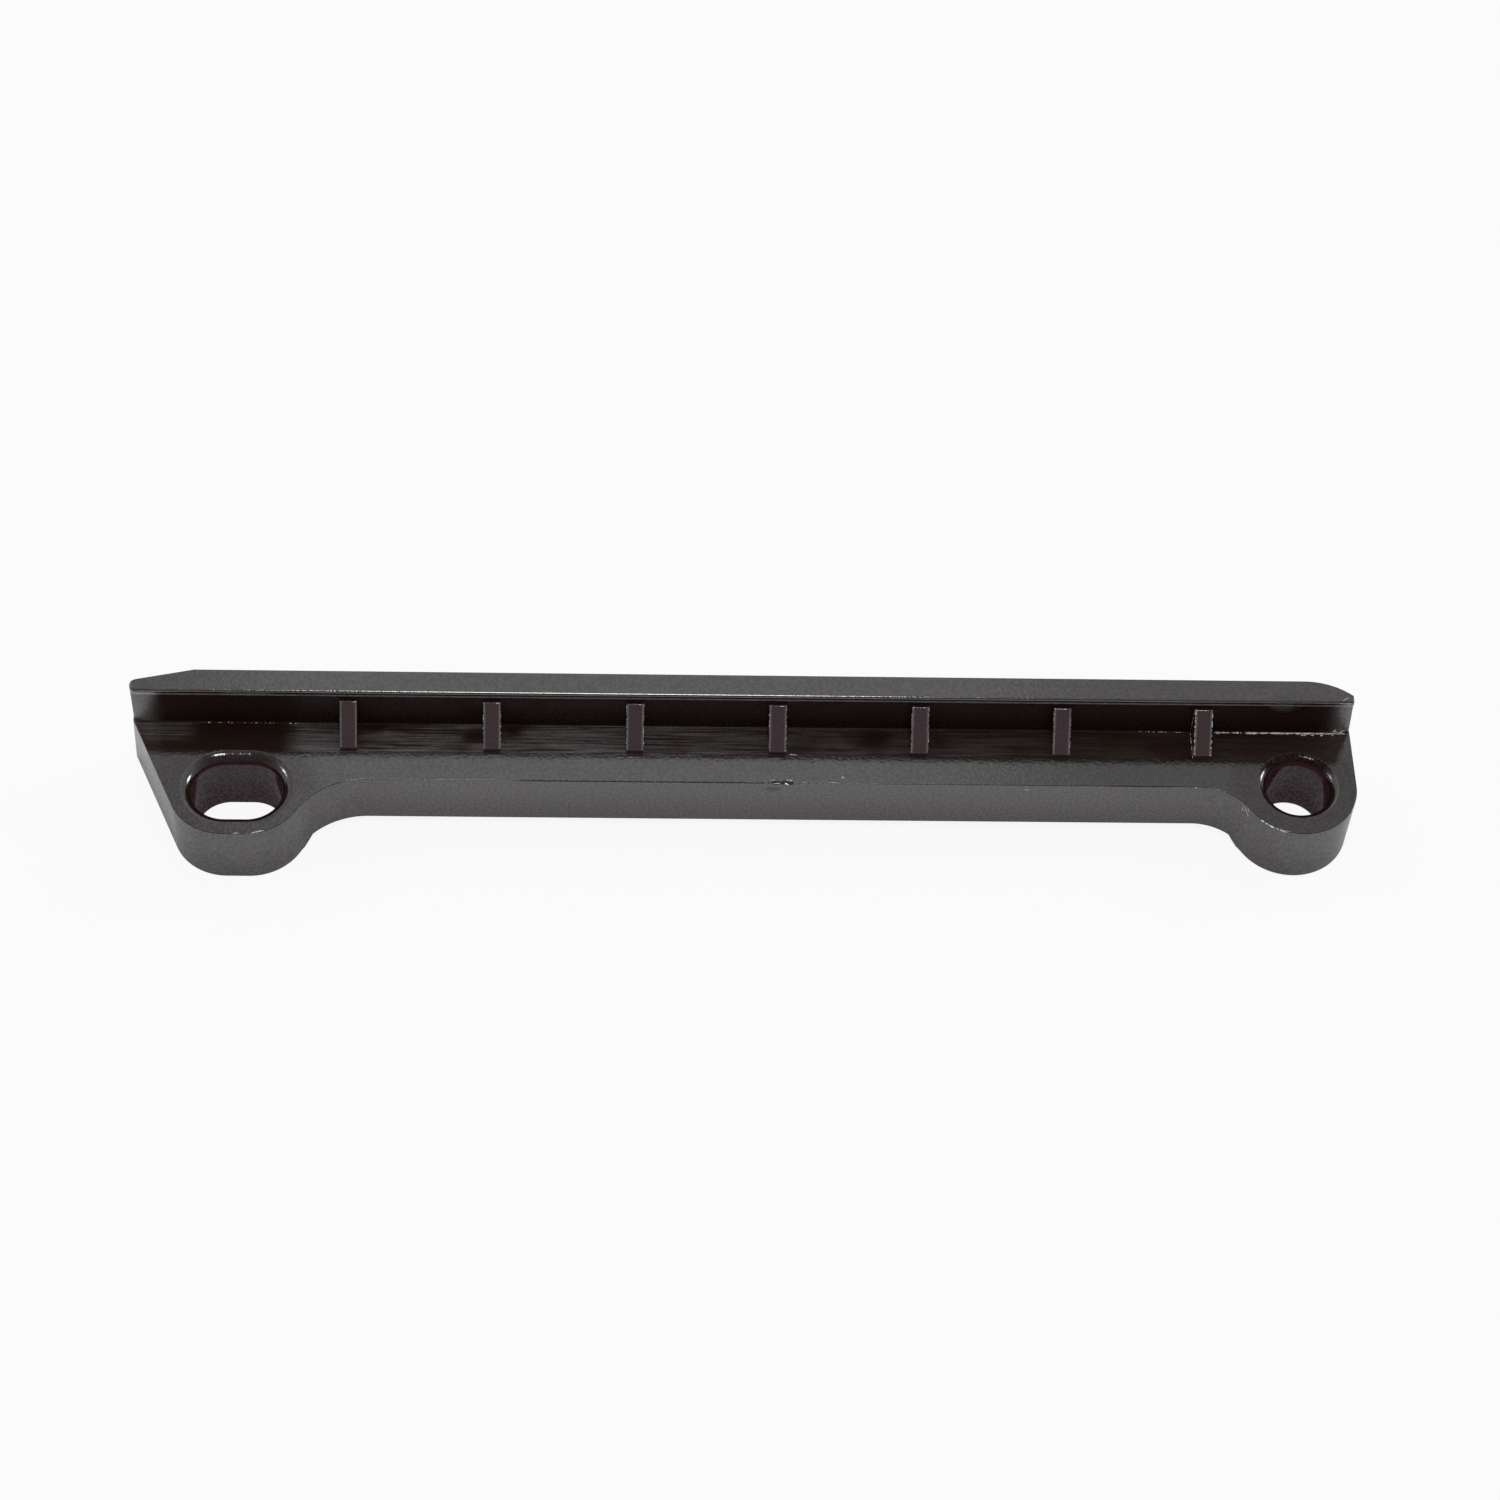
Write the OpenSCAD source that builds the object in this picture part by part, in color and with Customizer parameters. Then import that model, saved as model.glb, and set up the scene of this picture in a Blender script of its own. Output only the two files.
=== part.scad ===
// Timing chain guide: one nylon moulding, an upright rail on a flat foot with two bolt bosses.
// The origin lies on the round bore's axis at the mounting face. +X runs along the rail, +Y points
// out of the sliding face that the chain runs on, and +Z goes up through the bolt holes.
// All sizes are in millimetres.

/* [Bolts] */
// Nominal diameter of the two mounting bolts
bolt_diameter = 8; // [6:0.5:10]
// Clearance on the diameter of the round locating bore
bore_clearance = 0.6; // [0.2:0.1:1]
// Clearance across the width of the slotted hole
slot_clearance = 1.2; // [0.4:0.1:1.6]
// Travel of the bolt along the slotted hole
slot_travel = 2.9; // [1:0.1:6]
// Distance along the rail from the round bore to the middle of the slotted hole
bolt_pitch = 143; // [100:0.5:180]
// How much farther from the sliding face the slotted hole lies than the round bore
slot_drop = 1.85; // [0:0.05:3]
// Radius of the rounded rim round the top of the round bore
bore_rim_round = 1.35; // [0.4:0.05:1.6]
// Radius of the rounded rim round the top of the slotted hole
slot_rim_round = 1.5; // [0.4:0.05:1.6]

/* [Bosses] */
// Wall of the boss round the round bore
bore_boss_wall = 3.65; // [3:0.05:5]
// Wall of the boss round the slotted hole
slot_boss_wall = 3.05; // [2.5:0.05:5]
// Radius of the inside curve from the bore boss to the foot's front edge
bore_fillet = 8; // [5:0.5:14]
// Radius of the inside curve from the slot boss to the foot's front edge
slot_fillet = 10.5; // [5:0.5:14]

/* [Foot] */
// Thickness of the foot between the bosses
foot_thickness = 8.6; // [6:0.1:11]
// Depth of the foot from the wall's front face to its front edge
foot_depth = 9.2; // [8:0.1:11]
// Height of the relief under the foot between the two mounting pads
pad_relief = 1.5; // [0.5:0.1:3]
// How far a mounting pad reaches out past its boss
pad_margin = 0.05; // [0.05:0.05:1]
// How much farther a mounting pad's sloping inner side reaches at the relief's top
pad_slope = 0.8; // [0.2:0.1:1.2]
// How far the foot stands out past the wall at the bore end
bore_end_ledge = 0.05; // [0.05:0.05:1]
// How far the foot's top stands out past the wall at the slot end
slot_end_ledge = 0.05; // [0.05:0.05:1]
// How much farther the slot end reaches at the mounting face than at the foot's top
slot_end_lean = 0.5; // [0.1:0.05:1.5]

/* [Wall] */
// Distance from the round bore's axis to the sliding face
face_offset = 12.2; // [11:0.05:15]
// Thickness of the wall below its rim
wall_thickness = 3.4; // [2.6:0.1:5]
// Height of the wall above the foot
wall_height = 7.35; // [5:0.05:12]
// How far the wall's bore end leans back from the foot to the wall's top
bore_end_lean = 0.45; // [0.1:0.05:1]
// How far the wall runs past the middle of the slotted hole
slot_end_reach = 14.5; // [12:0.1:22]
// Height of the rim along the top of the wall
rim_height = 1; // [0.6:0.1:1.5]
// How far the rim stands out in front of the wall
rim_step = 0.2; // [0.1:0.05:0.5]
// Rounding of the rim's front top edge
rim_front_round = 0.4; // [0.1:0.05:0.5]
// Rounding of the sliding face's top edge
rim_back_round = 0.1; // [0.1:0.05:0.5]
// Radius of the inside curve where the wall meets the foot
wall_root = 0.15; // [0.1:0.05:0.6]

/* [Lead-ins] */
// Length of the straight lead-in at the slot end of the sliding face
taper_length = 8.5; // [5:0.1:14]
// Radius of the wall's rounded tip at the slot end
tip_radius = 0.95; // [0.5:0.05:1.4]
// Length of the curved lead-in at the bore end of the sliding face
curve_length = 6.5; // [4:0.1:7.5]
// Radius of the curved lead-in
curve_radius = 10; // [9.5:0.5:20]

/* [Ribs] */
// Number of ribs behind the wall
rib_count = 7; // [2:1:9]
// Width of a rib
rib_width = 2.3; // [1.6:0.1:3.5]
// How far a rib's toe lies in front of the wall
rib_reach = 4.6; // [3:0.1:6.5]
// Height of a rib's blunt toe
rib_toe = 0.8; // [0.3:0.1:1.5]
// Depth of a rib at its top
rib_top_depth = 0.5; // [0.3:0.1:1]
// Distance from the wall's top down to the ribs
rib_drop = 1.75; // [1.6:0.05:3]
// Distance from the slotted hole's middle to the first rib
rib_first = 14.65; // [13:0.05:20]
// Distance from the last rib to the round bore's axis
rib_last = 12.85; // [11:0.05:20]

/* [Hidden] */
$fn = 96;

// Overlap that lets joined shapes share volume, and cuts run clear of the faces they open
bite = 0.5;
// Depth by which a blending line or curve dips into the edge that it runs into, so that the two cross
blend = 0.005;

// Bosses and holes
bore_radius = (bolt_diameter + bore_clearance) / 2;
slot_radius = (bolt_diameter + slot_clearance) / 2;
bore_boss = bore_radius + bore_boss_wall;
slot_boss = slot_radius + slot_boss_wall;
slot_outer = [-bolt_pitch - slot_travel / 2, -slot_drop];
slot_inner = [-bolt_pitch + slot_travel / 2, -slot_drop];

// Lines across the rail
wall_front = face_offset - wall_thickness;
rim_front = wall_front - rim_step;
foot_front = wall_front - foot_depth;

// Levels
foot_top = pad_relief + foot_thickness;
rail_top = foot_top + wall_height;

// Ends of the rail
wall_right = bore_boss - bore_end_ledge;
wall_left = -bolt_pitch - slot_end_reach;
foot_left = wall_left - slot_end_ledge - slot_end_lean;
tip = [wall_left + tip_radius, rim_front + tip_radius];

// Lead-ins of the sliding face
taper_start = [wall_left + taper_length, face_offset];
taper_end = touch_point(taper_start, tip, tip_radius - blend);
foot_corner = at_x(taper_start, taper_end, foot_left);
curve_centre = [wall_right - bore_end_lean - curve_length, face_offset - curve_radius + blend];

// Rib pattern
rib_pitch = (bolt_pitch - rib_first - rib_last) / (rib_count - 1);

// Direction of an angle in the plan
function heading(angle) = [cos(angle), sin(angle)];

// Angle of the line from one point to another
function bearing(from, to) = atan2(to.y - from.y, to.x - from.x);

// Point where a line from an outside point touches a circle, turning left seen from the circle
function touch_point(point, centre, radius) =
    centre + radius * heading(bearing(centre, point) + acos(radius / norm(point - centre)));

// Point at a given x, or at a given y, on the line through two points
function at_x(first, second, x) = first + (second - first) * (x - first.x) / (second.x - first.x);
function at_y(first, second, y) = first + (second - first) * (y - first.y) / (second.y - first.y);

// Centre of the inside curve beside a boss; side is 1 to its right and -1 to its left
function fillet_centre(boss, boss_radius, fillet, side) =
    let (reach = boss_radius + fillet - blend, level = foot_front - fillet + blend)
    [boss.x + side * sqrt(pow(reach, 2) - pow(level - boss.y, 2)), level];

// Plan of the wall before the lead-ins are cut
module wall_plan() {
    translate([tip.x, rim_front])
        square([bore_boss + bite - tip.x, face_offset - rim_front]);
    translate(tip)
        circle(tip_radius);
}

// Plan of what the lead-ins at both ends take off the sliding face
module lead_in_plan() {
    far_left = foot_left - taper_length;
    clear = face_offset + bite;
    polygon([
        at_y(taper_start, taper_end, clear),
        [far_left, clear],
        at_x(taper_start, taper_end, far_left)
    ]);
    difference() {
        translate(curve_centre)
            square([bore_boss - curve_centre.x + bite, curve_radius + bite]);
        translate(curve_centre)
            circle(curve_radius);
    }
}

// Inside curve that blends a boss into the foot's front edge
module boss_fillet(boss, boss_radius, fillet, side) {
    centre = fillet_centre(boss, boss_radius, fillet, side);
    difference() {
        polygon([
            [centre.x, foot_front + bite],
            [boss.x, foot_front + bite],
            boss,
            centre
        ]);
        translate(centre)
            circle(fillet);
    }
}

// Outline of the foot before the lead-ins are cut: a strip between the bosses, squared off at the bore
// end, with a slanting end that is tangent to the slot boss and runs through the foot's corner
module foot_plan() {
    slant = touch_point(foot_corner, slot_outer, slot_boss - blend);
    polygon([
        [slot_inner.x, foot_front],
        [0, foot_front],
        [0, 0],
        [bore_boss, 0],
        [bore_boss, face_offset],
        at_y(slant, foot_corner, face_offset),
        slant,
        slot_outer,
        slot_inner
    ]);
    for (end = [slot_outer, slot_inner])
        translate(end)
            circle(slot_boss);
    translate(slot_outer - [0, slot_boss])
        square([slot_travel, slot_boss]);
    circle(bore_boss);
    boss_fillet(slot_inner, slot_boss, slot_fillet, 1);
    boss_fillet([0, 0], bore_boss, bore_fillet, -1);
}

// Quarter-round corner in the plan's lower left, to take off an edge that is swept along the rail
module corner(radius) {
    difference() {
        translate([-bite, -bite])
            square(radius + bite);
        translate([radius, radius])
            circle(radius);
    }
}

// Cross-section of the wall, drawn across the rail and up
module wall_section() {
    difference() {
        union() {
            translate([wall_front, foot_top - bite])
                square([wall_thickness, wall_height + bite]);
            translate([rim_front, rail_top - rim_height])
                square([wall_thickness + rim_step, rim_height]);
        }
        translate([rim_front, rail_top])
            mirror([0, 1])
                corner(rim_front_round);
        translate([face_offset, rail_top])
            rotate(180)
                corner(rim_back_round);
    }
}

// Cross-section of the inside curve between the wall and the foot
module root_section() {
    difference() {
        translate([wall_front - wall_root, foot_top - bite])
            square([wall_root + bite, wall_root + bite]);
        translate([wall_front - wall_root, foot_top + wall_root])
            circle(wall_root);
    }
}

// Side view of the wall, which leans back at the bore end
module wall_side() {
    slope = bore_end_lean / wall_height;
    polygon([
        [wall_left - bite, foot_top - bite],
        [wall_right + slope * bite, foot_top - bite],
        [wall_right - slope * (wall_height + bite), rail_top + bite],
        [wall_left - bite, rail_top + bite]
    ]);
}

// Side view of a rib
module rib_section() {
    polygon([
        [wall_front + bite, foot_top - bite],
        [wall_front - rib_reach, foot_top - bite],
        [wall_front - rib_reach, foot_top + rib_toe],
        [wall_front - rib_top_depth, rail_top - rib_drop],
        [wall_front + bite, rail_top - rib_drop]
    ]);
}

// Sweep a cross-section along the rail between two places
module along_rail(from, to) {
    translate([from, 0, 0])
        rotate([90, 0, 90])
            linear_extrude(to - from)
                children();
}

// Upright wall with its rim, rounded top edges and lead-ins
module wall() {
    intersection() {
        union() {
            intersection() {
                translate([0, 0, foot_top - bite])
                    linear_extrude(wall_height + bite)
                        wall_plan();
                along_rail(wall_left - bite, bore_boss + 2 * bite)
                    wall_section();
            }
            along_rail(tip.x, bore_boss + bite)
                root_section();
        }
        translate([0, face_offset + bite, 0])
            rotate([90, 0, 0])
                linear_extrude(face_offset - foot_front)
                    wall_side();
    }
}

// Row of ribs between the wall and the foot
module ribs() {
    for (i = [0 : rib_count - 1]) {
        middle = -bolt_pitch + rib_first + i * rib_pitch;
        along_rail(middle - rib_width / 2, middle + rib_width / 2)
            rib_section();
    }
}

// Inner end of a mounting pad, round in front and straight behind, with a side that slopes out as it
// goes up; side is 1 to its right and -1 to its left
module pad(boss, boss_radius, side) {
    slope = pad_slope / pad_relief;
    low = boss_radius + pad_margin - slope * 2 * bite;
    high = boss_radius + pad_margin + slope * (pad_relief + bite);
    height = pad_relief + 3 * bite;
    depth = face_offset - boss.y + 2 * bite;
    translate([boss.x, boss.y, -2 * bite]) {
        cylinder(r1 = low, r2 = high, h = height);
        mirror([side < 0 ? 1 : 0, 0, 0])
            translate([0, depth, 0])
                rotate([90, 0, 0])
                    linear_extrude(depth)
                        polygon([
                            [-bite, 0],
                            [low - blend, 0],
                            [high - blend, height],
                            [-bite, height]
                        ]);
    }
}

// Relief under the foot that leaves a mounting pad at each end
module relief() {
    difference() {
        translate([slot_inner.x, foot_front - foot_depth, -bite])
            cube([-slot_inner.x, foot_depth - foot_front + face_offset + bite, pad_relief + bite]);
        pad(slot_inner, slot_boss, 1);
        pad([0, 0], bore_boss, -1);
    }
}

// Lead-ins cut through the wall and the foot
module lead_ins() {
    translate([0, 0, -bite])
        linear_extrude(rail_top + 2 * bite)
            lead_in_plan();
}

// Slanting cut that leans the slot end in towards the foot's top
module slot_end_cut() {
    translate([foot_left, 0, 0])
        rotate([0, atan(slot_end_lean / foot_top), 0])
            translate([-slot_boss, 0, -bite])
                cube([slot_boss, face_offset + bite, foot_top + 2 * bite]);
}

// Half profile of a hole's rounded rim, from the hole's middle outward
module rim_section(hole_radius, round_radius) {
    difference() {
        square([hole_radius + round_radius, round_radius + bite]);
        translate([hole_radius + round_radius, 0])
            circle(round_radius);
    }
}

// Round locating bore with its rounded rim
module bore_cut() {
    translate([0, 0, -bite])
        cylinder(r = bore_radius, h = foot_top + 2 * bite);
    translate([0, 0, foot_top - bore_rim_round])
        rotate_extrude()
            rim_section(bore_radius, bore_rim_round);
}

// Slotted hole with its rounded rim
module slot_cut() {
    rim_level = foot_top - slot_rim_round;
    for (end = [slot_outer, slot_inner]) {
        translate([end.x, end.y, -bite])
            cylinder(r = slot_radius, h = foot_top + 2 * bite);
        translate([end.x, end.y, rim_level])
            rotate_extrude()
                rim_section(slot_radius, slot_rim_round);
    }
    translate([slot_outer.x, slot_outer.y - slot_radius, -bite])
        cube([slot_travel, 2 * slot_radius, foot_top + 2 * bite]);
    for (side = [0, 1])
        translate([0, -slot_drop, rim_level])
            mirror([0, side, 0])
                along_rail(slot_outer.x, slot_inner.x)
                    rim_section(slot_radius, slot_rim_round);
}

// The whole guide
module chain_guide() {
    color("#2c2b2d")
        difference() {
            union() {
                linear_extrude(foot_top)
                    foot_plan();
                wall();
                ribs();
            }
            lead_ins();
            slot_end_cut();
            relief();
            bore_cut();
            slot_cut();
        }
}

chain_guide();
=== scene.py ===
"""Studio picture of a timing chain guide, one moulding in glossy black nylon.

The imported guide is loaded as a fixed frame. A finely rounded copy of the moulding stands for it, with the
flash, burrs and knocks of a real moulding, on a pale studio floor. The moulding's sizes are in millimetres
until they reach a mesh, and the studio's are in metres.
"""

import logging
import math
import random
from dataclasses import dataclass
from enum import Enum
from functools import cached_property
from typing import ClassVar

import bmesh
import bpy
from mathutils import Matrix, Vector


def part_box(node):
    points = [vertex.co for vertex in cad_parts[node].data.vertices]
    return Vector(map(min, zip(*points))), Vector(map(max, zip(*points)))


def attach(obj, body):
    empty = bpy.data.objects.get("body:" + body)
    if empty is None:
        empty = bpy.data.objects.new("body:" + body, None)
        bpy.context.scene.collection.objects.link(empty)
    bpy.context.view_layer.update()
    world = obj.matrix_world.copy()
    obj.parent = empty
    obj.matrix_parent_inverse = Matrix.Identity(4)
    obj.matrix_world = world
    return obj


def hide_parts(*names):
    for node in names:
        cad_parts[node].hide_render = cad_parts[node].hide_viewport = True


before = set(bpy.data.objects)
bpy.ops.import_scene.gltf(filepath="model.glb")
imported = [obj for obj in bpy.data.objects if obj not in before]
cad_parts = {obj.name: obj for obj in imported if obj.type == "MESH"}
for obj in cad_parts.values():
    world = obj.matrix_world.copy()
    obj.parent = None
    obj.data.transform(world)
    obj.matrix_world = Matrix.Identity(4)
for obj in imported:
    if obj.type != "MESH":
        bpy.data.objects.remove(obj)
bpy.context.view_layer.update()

MM = 0.001
NODE = "chain_guide"
BODY = "root"
ARC_STEP = 3.0
WHITE = (1.0, 1.0, 1.0)
COOL_WHITE = (0.92, 0.96, 1.0)

Number = int | float
Colour = tuple[float, float, float]
Point = tuple[float, float, float]
Span = tuple[float, float]
Stretch = tuple[float, float, float, float]
Plan = list[Vector]
Ring = list[Vector]

log = logging.getLogger(NODE)


class Combine(Enum):
    """Ways to put two solids together."""

    JOIN = "UNION"
    REMOVE = "DIFFERENCE"


class Side(Enum):
    """Sides of a thing, seen from the front of the guide."""

    LEFT = -1
    RIGHT = 1


# Shader maths


class Value:
    """A number that varies over a surface, with Python's operators for its maths."""

    def __init__(self, shader: "Shader", plug: bpy.types.NodeSocket) -> None:
        """Wrap an output socket of a shader's node."""
        self.shader = shader
        self.plug = plug

    def __add__(self, other: "Value | Number") -> "Value":
        """Sum of two values."""
        return self.shader.maths("ADD", self, other)

    def __sub__(self, other: "Value | Number") -> "Value":
        """Difference of two values."""
        return self.shader.maths("SUBTRACT", self, other)

    def __rsub__(self, other: Number) -> "Value":
        """Difference of a number and this value."""
        return self.shader.maths("SUBTRACT", other, self)

    def __mul__(self, other: "Value | Number") -> "Value":
        """Product of two values."""
        return self.shader.maths("MULTIPLY", self, other)

    def __pow__(self, other: Number) -> "Value":
        """This value raised to a power."""
        return self.shader.maths("POWER", self, other)

    def __abs__(self) -> "Value":
        """This value without its sign."""
        return self.shader.maths("ABSOLUTE", self)

    __radd__ = __add__
    __rmul__ = __mul__

    def rise(self, low: float, high: float) -> "Value":
        """Smooth rise from 0 at low to 1 at high."""
        settings = {"interpolation_type": "SMOOTHSTEP"}
        return self.shader.node("ShaderNodeMapRange", settings, {"Value": self, 1: low, 2: high})

    def fall(self, low: float, high: float) -> "Value":
        """Smooth fall from 1 at low to 0 at high."""
        return 1 - self.rise(low, high)

    def within(self, start: float, full: float, fading: float, end: float) -> "Value":
        """Smooth rise from 0 at start to 1 at full, and fall from 1 at fading to 0 at end."""
        return self.rise(start, full) * self.fall(fading, end)


class Shader:
    """Node tree of one material or of the world, filled from an empty start."""

    def __init__(self, tree: bpy.types.NodeTree) -> None:
        """Empty a node tree and keep it."""
        self.tree = tree
        tree.nodes.clear()

    def node(
        self,
        kind: str,
        settings: dict[str, object] | None = None,
        inputs: dict[str | int, object] | None = None,
        output: str | int = 0,
    ) -> Value:
        """Add a node.

        Args:
            kind: Blender's name of the node's type.
            settings: Properties of the node, set before its sockets.
            inputs: Values or links by socket name, identifier or number.
            output: Name, identifier or number of the socket that is returned.

        Returns:
            The chosen output, or the first input of a node without outputs.
        """
        made = self.tree.nodes.new(kind)
        for name, value in (settings or {}).items():
            setattr(made, name, value)
        for name, value in (inputs or {}).items():
            plug = self.socket(made.inputs, name)
            if isinstance(value, Value):
                self.tree.links.new(value.plug, plug)
            else:
                plug.default_value = value
        if not made.outputs:
            return Value(self, made.inputs[0])
        return Value(self, self.socket(made.outputs, output))

    @staticmethod
    def socket(sockets: bpy.types.bpy_prop_collection, name: str | int) -> bpy.types.NodeSocket:
        """Find a socket.

        Args:
            sockets: A node's inputs or outputs.
            name: Number, identifier or name of the socket.

        Returns:
            The socket.
        """
        if isinstance(name, int):
            return sockets[name]
        return next((s for s in sockets if s.identifier == name), None) or sockets[name]

    def maths(self, operation: str, *values: Value | Number) -> Value:
        """Add a Math node on one or two values."""
        return self.node("ShaderNodeMath", {"operation": operation}, dict(enumerate(values)))

    def place(self) -> Value:
        """Place on the object, in millimetres."""
        metres = self.node("ShaderNodeTexCoord", output="Object")
        return self.node("ShaderNodeVectorMath", {"operation": "SCALE"}, {0: metres, "Scale": 1 / MM})

    def squeezed(self, place: Value, share: float) -> Value:
        """A place squeezed along the rail, so that a cloud on it is drawn out lengthwise."""
        return self.node("ShaderNodeVectorMath", {"operation": "MULTIPLY"}, {0: place, 1: (share, 1.0, 1.0)})

    def cloud(self, place: Value, scale: float, detail: float = 2.0, rough: float = 0.5) -> Value:
        """Soft noise from 0 to 1 at so many lumps a millimetre."""
        inputs = {"Vector": place, "Scale": scale, "Detail": detail, "Roughness": rough}
        return self.node("ShaderNodeTexNoise", None, inputs)

    def blend(self, share: Value, first: Colour | Value, second: Colour | Value) -> Value:
        """Mix two colours.

        Args:
            share: Share of the second colour.
            first: The first colour.
            second: The second colour.

        Returns:
            The mixed colour.
        """
        pair = [c if isinstance(c, Value) else (*c, 1.0) for c in (first, second)]
        inputs = {"Factor_Float": share, "A_Color": pair[0], "B_Color": pair[1]}
        return self.node("ShaderNodeMix", {"data_type": "RGBA"}, inputs, "Result_Color")


# Finishes


class Finish:
    """A finish that makes its material by painting a surface."""

    name: ClassVar[str]

    def make(self) -> bpy.types.Material:
        """Build the material.

        Returns:
            The material.
        """
        material = bpy.data.materials.new(self.name)
        material.use_nodes = True
        shader = Shader(material.node_tree)
        shader.node("ShaderNodeOutputMaterial", None, {"Surface": self.paint(shader)})
        return material

    def paint(self, shader: Shader) -> Value:
        """Add the surface's nodes, which each finish does in its own way."""
        raise NotImplementedError


@dataclass
class Spot:
    """A place on the object as a shader knows it, in millimetres, and how far the surface faces up there."""

    shader: Shader
    place: Value
    along: Value
    across: Value
    up: Value
    tilt: Value

    @classmethod
    def on(cls, shader: Shader) -> "Spot":
        """Read the place that a shader is drawing.

        Args:
            shader: The shader.

        Returns:
            The place, its parts along the axes and the tilt.
        """
        place = shader.place()
        facing = shader.node("ShaderNodeNewGeometry", None, None, "Normal")
        parts = [shader.node("ShaderNodeSeparateXYZ", None, {0: place}, axis) for axis in "XYZ"]
        tilt = shader.node("ShaderNodeSeparateXYZ", None, {0: facing}, "Z")
        return cls(shader, place, *parts, tilt)


@dataclass
class NylonMarks:
    """Masks of the nylon's marks and of its painted shade and highlights, at the spot that a shader draws.

    A span says from where to where a mask changes. A stretch says where it starts, is full, fades and ends.
    """

    spot: Spot
    foot: "Foot"
    wall: "Wall"
    ribs: "Ribs"
    facing_up: Span = (0.5, 0.95)
    patch_scale: float = 0.2
    patch_squeeze: float = 0.5
    patch_span: Span = (0.28, 0.52)
    slot_tip: Span = (-151.0, -148.0)
    tip_back: Span = (5.2, 6.6)
    tip_sheen: float = 0.55
    toes: Span = (-0.5, 0.3)
    before_toes: float = 0.1
    band_start: Span = (-138.0, -134.0)
    band_fades: tuple[tuple[Span, float], ...] = (((-100.0, -60.0), 0.6), ((-60.0, -20.0), 0.25))
    band_height: Span = (0.2, 1.0)
    hole_wall: Span = (0.1, 0.4)
    hole_height: Span = (-1.3, -0.4)
    bore_rim: Span = (1.0, 1.4)
    bore_rim_share: float = 1.6
    slot_rim: Span = (1.1, 1.5)
    rim_far: Span = (1.0, 3.2)
    rim_level: Span = (8.6, 9.2)
    foot_gap: Span = (0.05, 0.3)
    rim_gap: float = 0.2
    wall_depth: Stretch = (-0.5, -0.2, 1.0, 1.5)
    wall_tip: Span = (-156.0, -152.6)
    wall_bore_end: Span = (3.0, 7.0)
    rail_skin: Span = (-0.12, -0.04)
    rail_slot_end: Span = (-140.0, -110.0)
    rail_bore_end: Span = (-60.0, -30.0)
    bore_boss: Span = (3.2, 6.7)
    slot_boss: Span = (2.9, 6.4)
    boss_top: Span = (0.96, 0.995)
    boss_side: Span = (0.0, 0.3)
    boss_side_share: float = 0.5
    low_level: Span = (0.5, 8.0)
    edge_height: Stretch = (-0.1, -0.05, 0.03, 0.06)
    edge_tilt: Span = (0.8, 0.97)
    edge_end: Span = (-0.3, -0.1)
    dark_line_height: Stretch = (-0.2, -0.1, 0.03, 0.06)
    dark_line_width: Span = (0.0, 0.16)
    dark_line_plain: Stretch = (-108.0, -104.0, -74.0, -70.0)
    dark_line_faint: Stretch = (-27.0, -25.0, -18.0, -16.0)
    faint_share: float = 0.6
    rib_side: Span = (-0.34, -0.14)
    rib_tilt: Span = (0.1, 0.4)
    lip_rise: float = 0.2
    lip_width: Span = (0.08, 0.22)
    smudge_along: float = -71.2
    smudge_up: float = 8.7
    smudge_squeeze: tuple[float, float] = (0.75, 1.3)
    smudge_span: Span = (0.1, 1.0)
    smudge_back: Span = (-0.3, -0.2)
    knock_along: Stretch = (-72.1, -71.8, -68.4, -68.1)
    knock_front: Span = (0.01, 0.04)
    knock_back: Span = (0.5, 0.8)
    knock_up: Span = (9.0, 9.3)
    knock_tilt: Span = (0.93, 0.99)
    chip_slope: float = 0.6
    chip_across: float = 5.44
    chip_width: Span = (0.02, 0.10)
    chip_along: Stretch = (5.75, 5.95, 6.5, 6.7)
    chip_up: Span = (17.2, 17.35)

    @cached_property
    def height(self) -> Value:
        """Height above the foot's top."""
        return self.spot.up - self.foot.lines.foot_top

    @cached_property
    def behind(self) -> Value:
        """Distance behind the wall's front face."""
        return self.spot.across - self.foot.lines.wall_front

    @cached_property
    def rounds(self) -> tuple[Value, Value]:
        """Distances from the walls of the bolt holes.

        Returns:
            The distances from the bore's wall and from the slot's.
        """
        spot, foot = self.spot, self.foot
        bore = (spot.along**2 + spot.across**2) ** 0.5
        beside = abs(spot.along + foot.bolt_pitch) - foot.slot_travel / 2
        beside = spot.shader.maths("MAXIMUM", beside, 0)
        slot = (beside**2 + (spot.across + foot.slot_drop) ** 2) ** 0.5
        return bore - foot.bore_radius, slot - foot.slot_radius

    @cached_property
    def upward(self) -> Value:
        """Mask of what faces up."""
        return self.spot.tilt.rise(*self.facing_up)

    @cached_property
    def wear_and_sheen(self) -> Value:
        """Mask of the lengthwise tool marks on the foot's top, and of the lighter patches there that are
        painted sheen.

        Returns:
            The mask, strongest behind the toes of the ribs in the slot half.
        """
        shader, along = self.spot.shader, self.spot.along
        patches = shader.cloud(shader.squeezed(self.spot.place, self.patch_squeeze), self.patch_scale)
        # Painted sheen on the foot's top beside the wall's left tip.
        tip = along.fall(*self.slot_tip) * self.spot.across.rise(*self.tip_back) * self.tip_sheen
        toes = (self.behind + self.ribs.reach).rise(*self.toes) * (1 - self.before_toes) + self.before_toes
        middle = 1
        for span, share in self.band_fades:
            middle = middle - along.rise(*span) * share
        middle = middle * along.rise(*self.band_start) * toes * patches.rise(*self.patch_span)
        return (tip + middle) * self.height.fall(*self.band_height) * self.upward

    @cached_property
    def holes(self) -> Value:
        """Mask of the walls of the two bolt holes, where shade is painted."""
        walls = [distance.fall(*self.hole_wall) for distance in self.rounds]
        return (walls[0] + walls[1]) * self.height.fall(*self.hole_height)

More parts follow.
